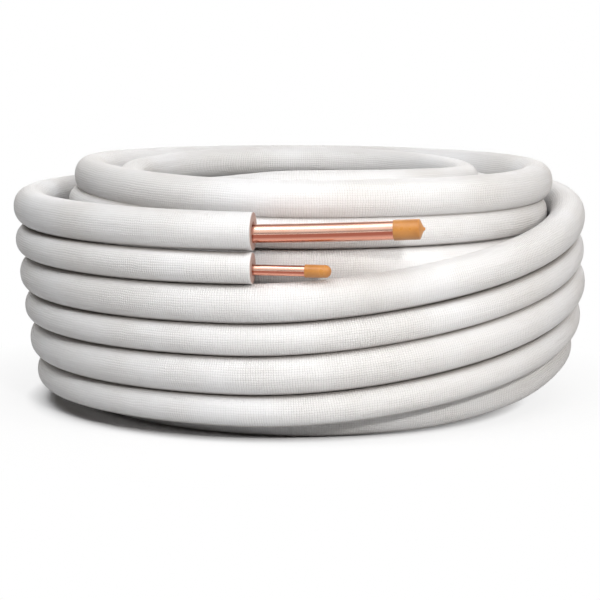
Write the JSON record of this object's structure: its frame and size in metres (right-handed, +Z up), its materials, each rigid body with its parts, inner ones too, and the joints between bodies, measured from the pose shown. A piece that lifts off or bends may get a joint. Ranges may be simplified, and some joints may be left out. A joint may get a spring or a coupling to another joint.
{
  "type": "copper tube coil",
  "caption": "Coil of paired copper tubes in white foam sleeves, a larger and a smaller line wound side by side, with bare capped ends, for joining refrigeration units.",
  "frame": {"origin": "on the axis of the coil's bore, at the floor it lies on", "axes": "+Z up along the bore's axis; the bare capped ends come off the outer layer on the -Y side and point to +X"},
  "size_m": [0.5883, 0.6007, 0.2459],
  "materials": {
    "copper": "bright drawn copper",
    "white_foam": "white foam with an embossed skin",
    "yellow_cap": "moulded, lightly glossy"
  },
  "bodies": {
    "root": {"large_tube": "copper", "small_tube": "copper", "large_sleeve": "white_foam", "small_sleeve": "white_foam", "inner_winding": "white_foam", "small_inner_end": "white_foam", "large_cap": "yellow_cap", "small_cap": "yellow_cap"}
  },
  "joints": []
}
